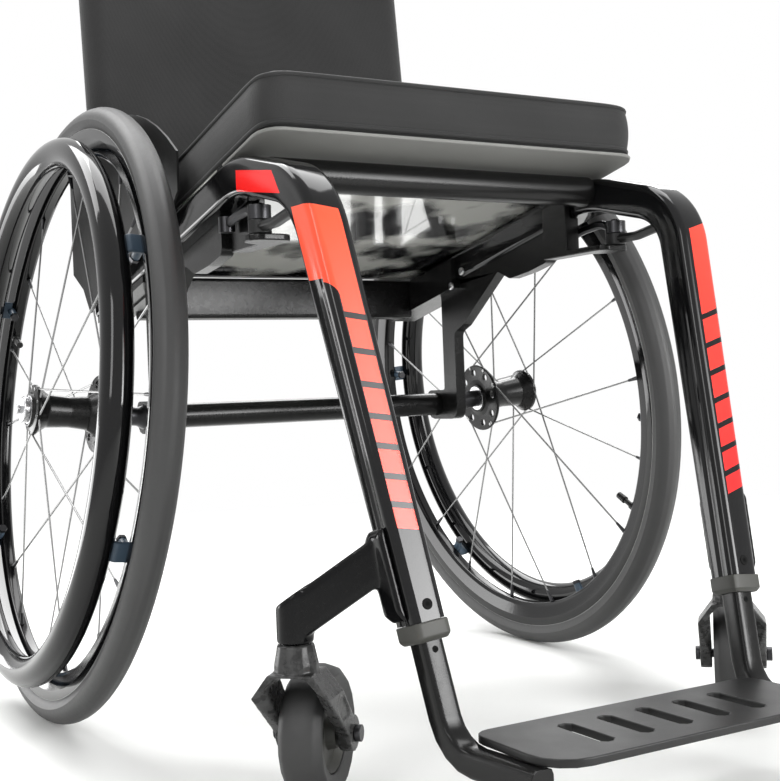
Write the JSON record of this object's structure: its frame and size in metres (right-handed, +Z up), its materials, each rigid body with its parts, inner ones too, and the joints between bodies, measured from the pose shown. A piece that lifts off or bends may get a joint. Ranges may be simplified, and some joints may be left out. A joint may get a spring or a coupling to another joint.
{
  "type": "active wheelchair",
  "caption": "Rigid-frame active wheelchair with cambered spoked wheels, hand rims, fork casters, seat cushion, folding backrest, side guards, footplate and wheel brakes",
  "frame": {"origin": "on the floor, midway along the length and on the middle plane of the chair", "axes": "+X to the chair's left, +Y to its back, +Z up; the chair faces -Y"},
  "size_m": [0.6582, 0.8965, 0.8212],
  "materials": {
    "gloss_black": "gloss",
    "satin_black": "satin",
    "cast_black": "satin",
    "grey_plastic": "matte",
    "black_plastic": "matte",
    "carbon": "gloss",
    "tyre_rubber": "matte",
    "caster_rubber": "matte",
    "cushion_cloth": "matte",
    "back_cloth": "matte",
    "steel": "satin",
    "bearing_steel": "gloss"
  },
  "bodies": {
    "frame": {"side_frame_left": "gloss_black", "rail_plug_left": "black_plastic", "axle_bracket_left": "cast_black", "camber_plug_left": "steel", "tube_collar_left": "grey_plastic", "footrest_tube_left": "satin_black", "caster_arm_left": "cast_black", "side_guard_left": "black_plastic", "stem_bearing_left": "bearing_steel", "hinge_bracket_left": "cast_black", "brake_mount_left": "cast_black", "side_frame_right": "gloss_black", "rail_plug_right": "black_plastic", "axle_bracket_right": "cast_black", "camber_plug_right": "steel", "tube_collar_right": "grey_plastic", "footrest_tube_right": "satin_black", "caster_arm_right": "cast_black", "side_guard_right": "black_plastic", "stem_bearing_right": "bearing_steel", "hinge_bracket_right": "cast_black", "brake_mount_right": "cast_black", "front_cross_tube": "gloss_black", "rear_cross_bar": "gloss_black", "seat_pan": "carbon", "seat_cushion": "cushion_cloth", "axle_tube": "satin_black", "footplate": "black_plastic"},
    "axle_left": {"axle_pin_left": "steel"},
    "button_left": {"axle_button_left": "steel"},
    "wheel_left": {"tyre_left": "tyre_rubber", "rim_left": "gloss_black", "hub_left": "cast_black", "pushrim_left": "gloss_black", "inner_bearing_left": "bearing_steel", "outer_bearing_left": "bearing_steel"},
    "fork_left": {"caster_fork_left": "cast_black", "caster_bolt_left": "steel"},
    "caster_left": {"caster_wheel_left": "grey_plastic", "caster_tyre_left": "caster_rubber"},
    "lever_left": {"brake_lever_left": "black_plastic"},
    "brake_left": {"brake_arm_left": "steel"},
    "axle_right": {"axle_pin_right": "steel"},
    "button_right": {"axle_button_right": "steel"},
    "wheel_right": {"tyre_right": "tyre_rubber", "rim_right": "gloss_black", "hub_right": "cast_black", "pushrim_right": "gloss_black", "inner_bearing_right": "bearing_steel", "outer_bearing_right": "bearing_steel"},
    "fork_right": {"caster_fork_right": "cast_black", "caster_bolt_right": "steel"},
    "caster_right": {"caster_wheel_right": "grey_plastic", "caster_tyre_right": "caster_rubber"},
    "lever_right": {"brake_lever_right": "black_plastic"},
    "brake_right": {"brake_arm_right": "steel"},
    "backrest": {"backrest_cane_left": "satin_black", "backrest_cane_right": "satin_black", "rigidizer_bar": "satin_black", "back_upholstery": "back_cloth"}
  },
  "joints": [
    {"name": "axle_pull_left", "type": "slide", "parent": "frame", "child": "axle_left", "axis": [0.9945, 0, 0.1045], "range_m": [0, 0.1]},
    {"name": "button_press_left", "type": "slide", "parent": "axle_left", "child": "button_left", "axis": [-0.9945, 0, -0.1045], "range_m": [0, 0.0045], "stiffness_N_per_m": 900},
    {"name": "wheel_spin_left", "type": "hinge", "parent": "axle_left", "child": "wheel_left", "pos_m": [0.258, 0.15175, 0.29488], "axis": [0.9945, 0, 0.1045], "continuous": true},
    {"name": "caster_swivel_left", "type": "hinge", "parent": "frame", "child": "fork_left", "pos_m": [0.2145, -0.25425, 0.13], "axis": [0, 0, 1], "continuous": true},
    {"name": "caster_spin_left", "type": "hinge", "parent": "fork_left", "child": "caster_left", "pos_m": [0.2442, -0.22455, 0.05], "axis": [0.7071, -0.7071, 0], "continuous": true},
    {"name": "brake_lever_left", "type": "hinge", "parent": "frame", "child": "lever_left", "pos_m": [0.184, -0.15325, 0.44], "axis": [0, 0, 1], "range_deg": [0, 75]},
    {"name": "brake_arm_left", "type": "hinge", "parent": "frame", "child": "brake_left", "pos_m": [0.184, -0.15325, 0.44], "axis": [0, 0, -1], "range_deg": [0, 37.5]},
    {"name": "axle_pull_right", "type": "slide", "parent": "frame", "child": "axle_right", "axis": [-0.9945, 0, 0.1045], "range_m": [0, 0.1]},
    {"name": "button_press_right", "type": "slide", "parent": "axle_right", "child": "button_right", "axis": [0.9945, 0, -0.1045], "range_m": [0, 0.0045], "stiffness_N_per_m": 900},
    {"name": "wheel_spin_right", "type": "hinge", "parent": "axle_right", "child": "wheel_right", "pos_m": [-0.258, 0.15175, 0.29488], "axis": [0.9945, 0, -0.1045], "continuous": true},
    {"name": "caster_swivel_right", "type": "hinge", "parent": "frame", "child": "fork_right", "pos_m": [-0.2145, -0.25425, 0.13], "axis": [0, 0, 1], "continuous": true},
    {"name": "caster_spin_right", "type": "hinge", "parent": "fork_right", "child": "caster_right", "pos_m": [-0.1848, -0.22455, 0.05], "axis": [0.7071, -0.7071, 0], "continuous": true},
    {"name": "brake_lever_right", "type": "hinge", "parent": "frame", "child": "lever_right", "pos_m": [-0.184, -0.15325, 0.44], "axis": [0, 0, -1], "range_deg": [0, 75]},
    {"name": "brake_arm_right", "type": "hinge", "parent": "frame", "child": "brake_right", "pos_m": [-0.184, -0.15325, 0.44], "axis": [0, 0, 1], "range_deg": [0, 37.5]},
    {"name": "back_fold", "type": "hinge", "parent": "frame", "child": "backrest", "pos_m": [0, 0.23775, 0.522], "axis": [1, 0, 0], "range_deg": [0, 75]}
  ],
  "couplings": [
    {"joint": "brake_arm_left", "follows": "brake_lever_left", "ratio": 0.5},
    {"joint": "brake_arm_right", "follows": "brake_lever_right", "ratio": 0.5}
  ]
}
